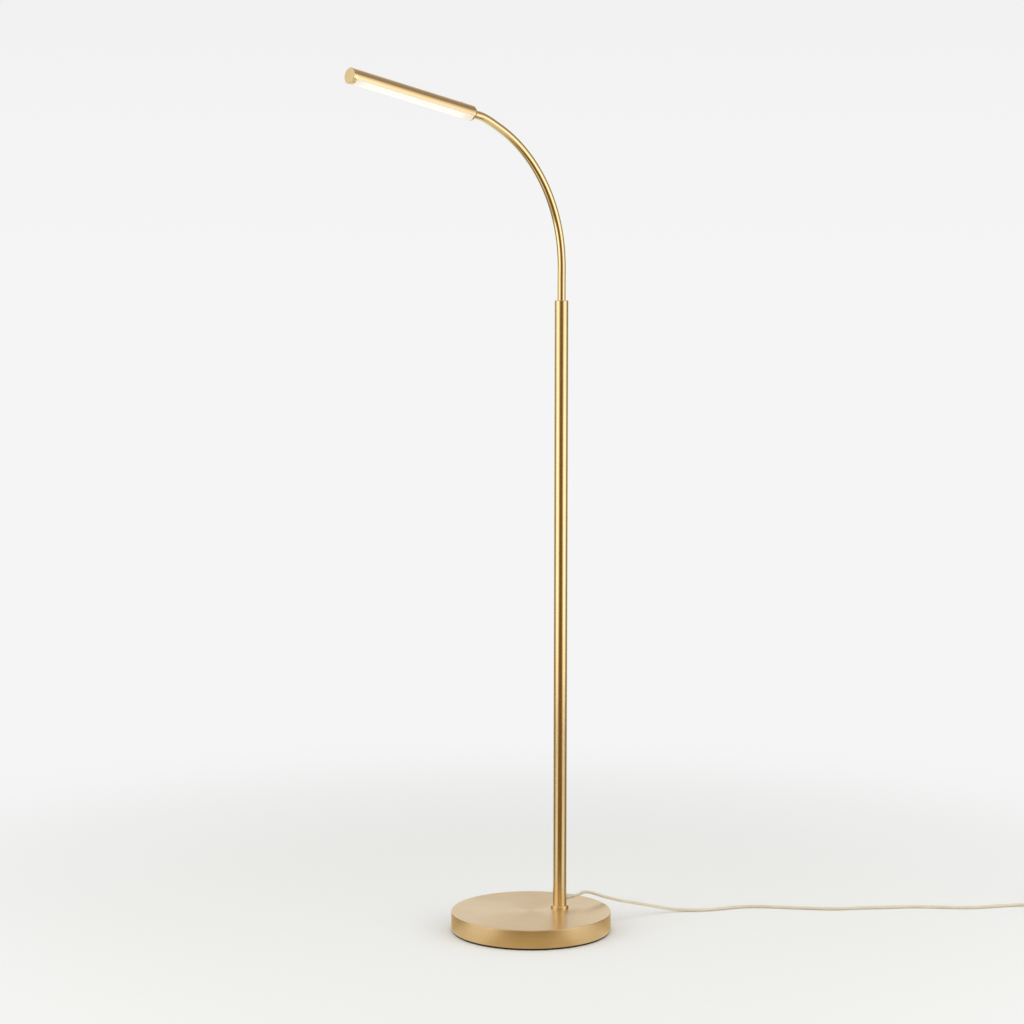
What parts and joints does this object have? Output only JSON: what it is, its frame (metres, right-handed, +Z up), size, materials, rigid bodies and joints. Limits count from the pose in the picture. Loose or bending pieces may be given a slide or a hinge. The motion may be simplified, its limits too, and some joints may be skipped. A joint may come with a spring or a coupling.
{
  "type": "floor lamp",
  "caption": "Reading floor lamp with a round weighted base set off centre under a slim stem, a gooseneck that bends every way and a long tubular light head.",
  "frame": {"origin": "centre of the round base's underside, on the floor", "axes": "+Z up along the stem; -X is the way the neck and head reach, and the mains lead leaves the stem towards +X"},
  "size_m": [1.2163, 0.6666, 1.3588],
  "materials": {
    "brushed_brass": "fine circular brushing, lacquered",
    "satin_brass": "satin brass, lacquered",
    "anodised_gold": "brass-coloured anodising, satin",
    "cast_iron": "as cast, painted",
    "pad_rubber": "matte",
    "zinc_steel": "zinc plated",
    "bare_aluminium": "extruded",
    "opal_diffuser": "opal acrylic, lit from inside",
    "led_white": "lit",
    "circuit_board": "white solder mask",
    "black_plastic": "moulded",
    "lead_insulation": "round twin lead",
    "clear_gold_vinyl": "translucent beige vinyl",
    "tie_plastic": "moulded",
    "blade_brass": "bare"
  },
  "bodies": {
    "stand": {"base_cover": "brushed_brass", "base_weight": "cast_iron", "base_pad": "pad_rubber", "stem_bolt": "zinc_steel", "bolt_washer": "zinc_steel", "bolt_lock_washer": "zinc_steel", "stem_collar": "satin_brass", "stem_insert": "zinc_steel", "stem_tube": "satin_brass", "stem_top_bush": "satin_brass", "neck_lock_nut": "zinc_steel", "cord_relief": "clear_gold_vinyl", "cord_inlet": "clear_gold_vinyl", "led_driver": "black_plastic", "stem_lead": "lead_insulation", "neck_ferrule": "satin_brass", "cord_run": "clear_gold_vinyl", "cord_coil": "clear_gold_vinyl", "coil_tie": "tie_plastic", "cord_tail": "clear_gold_vinyl", "plug_relief": "clear_gold_vinyl", "plug_body": "clear_gold_vinyl", "plug_blades": "blade_brass"},
    "link_1": {"neck_link_1": "satin_brass", "link_lead_1": "lead_insulation"},
    "link_2": {"neck_link_2": "satin_brass", "link_lead_2": "lead_insulation"},
    "link_3": {"neck_link_3": "satin_brass", "link_lead_3": "lead_insulation"},
    "link_4": {"neck_link_4": "satin_brass", "link_lead_4": "lead_insulation"},
    "link_5": {"neck_link_5": "satin_brass", "link_lead_5": "lead_insulation"},
    "link_6": {"neck_link_6": "satin_brass", "link_lead_6": "lead_insulation"},
    "link_7": {"neck_link_7": "satin_brass", "link_lead_7": "lead_insulation"},
    "link_8": {"neck_link_8": "satin_brass", "link_lead_8": "lead_insulation"},
    "link_9": {"neck_link_9": "satin_brass", "link_lead_9": "lead_insulation"},
    "link_10": {"neck_link_10": "satin_brass", "link_lead_10": "lead_insulation"},
    "neck_end": {"head_ferrule": "satin_brass", "ferrule_lead": "lead_insulation", "friction_washer": "zinc_steel", "swivel_nut": "zinc_steel"},
    "head": {"rear_cap": "satin_brass", "rear_cap_screw": "zinc_steel", "head_shell": "anodised_gold", "diffuser": "opal_diffuser", "heat_sink": "bare_aluminium", "led_board": "circuit_board", "led_packages": "led_white", "head_lead": "lead_insulation", "end_cap": "satin_brass", "switch_board": "circuit_board", "switch_body": "black_plastic"},
    "button": {"push_button": "satin_brass"}
  },
  "joints": [
    {"name": "neck_bend_1", "type": "hinge", "parent": "stand", "child": "link_1", "pos_m": [0.049, -0.0147, 1.043], "axis": [0, -1, 0], "range_deg": [-20, 14]},
    {"name": "neck_sway_2", "type": "hinge", "parent": "link_1", "child": "link_2", "pos_m": [0.04883, -0.0147, 1.07547], "axis": [0.9985, 0, 0.0556], "range_deg": [-12, 12]},
    {"name": "neck_bend_3", "type": "hinge", "parent": "link_2", "child": "link_3", "pos_m": [0.0454, -0.0147, 1.10773], "axis": [0, -1, 0], "range_deg": [-24, 14]},
    {"name": "neck_bend_4", "type": "hinge", "parent": "link_3", "child": "link_4", "pos_m": [0.03765, -0.0147, 1.13924], "axis": [0, -1, 0], "range_deg": [-24, 14]},
    {"name": "neck_sway_5", "type": "hinge", "parent": "link_4", "child": "link_5", "pos_m": [0.02572, -0.0147, 1.16942], "axis": [0.903, 0, 0.4297], "range_deg": [-12, 12]},
    {"name": "neck_bend_6", "type": "hinge", "parent": "link_5", "child": "link_6", "pos_m": [0.00983, -0.0147, 1.19771], "axis": [0, -1, 0], "range_deg": [-24, 14]},
    {"name": "neck_bend_7", "type": "hinge", "parent": "link_6", "child": "link_7", "pos_m": [-0.00973, -0.0147, 1.22359], "axis": [0, -1, 0], "range_deg": [-24, 14]},
    {"name": "neck_sway_8", "type": "hinge", "parent": "link_7", "child": "link_8", "pos_m": [-0.03261, -0.0147, 1.24661], "axis": [0.66, 0, 0.7513], "range_deg": [-12, 12]},
    {"name": "neck_bend_9", "type": "hinge", "parent": "link_8", "child": "link_9", "pos_m": [-0.05837, -0.0147, 1.26632], "axis": [0, -1, 0], "range_deg": [-24, 14]},
    {"name": "neck_sway_10", "type": "hinge", "parent": "link_9", "child": "link_10", "pos_m": [-0.08657, -0.0147, 1.28239], "axis": [0.4517, 0, 0.8922], "range_deg": [-12, 12]},
    {"name": "neck_bend_11", "type": "hinge", "parent": "link_10", "child": "neck_end", "pos_m": [-0.11637, -0.0147, 1.29568], "axis": [0, -1, 0], "range_deg": [-24, 9]},
    {"name": "head_turn", "type": "hinge", "parent": "neck_end", "child": "head", "pos_m": [-0.1301, -0.0147, 1.29844], "axis": [-0.9803, 0, 0.1977], "range_deg": [-150, 150]},
    {"name": "switch_press", "type": "slide", "parent": "head", "child": "button", "axis": [-0.1977, 0, -0.9803], "range_m": [0, 0.0008], "stiffness_N_per_m": 1500, "springref_m": -0.0006}
  ]
}
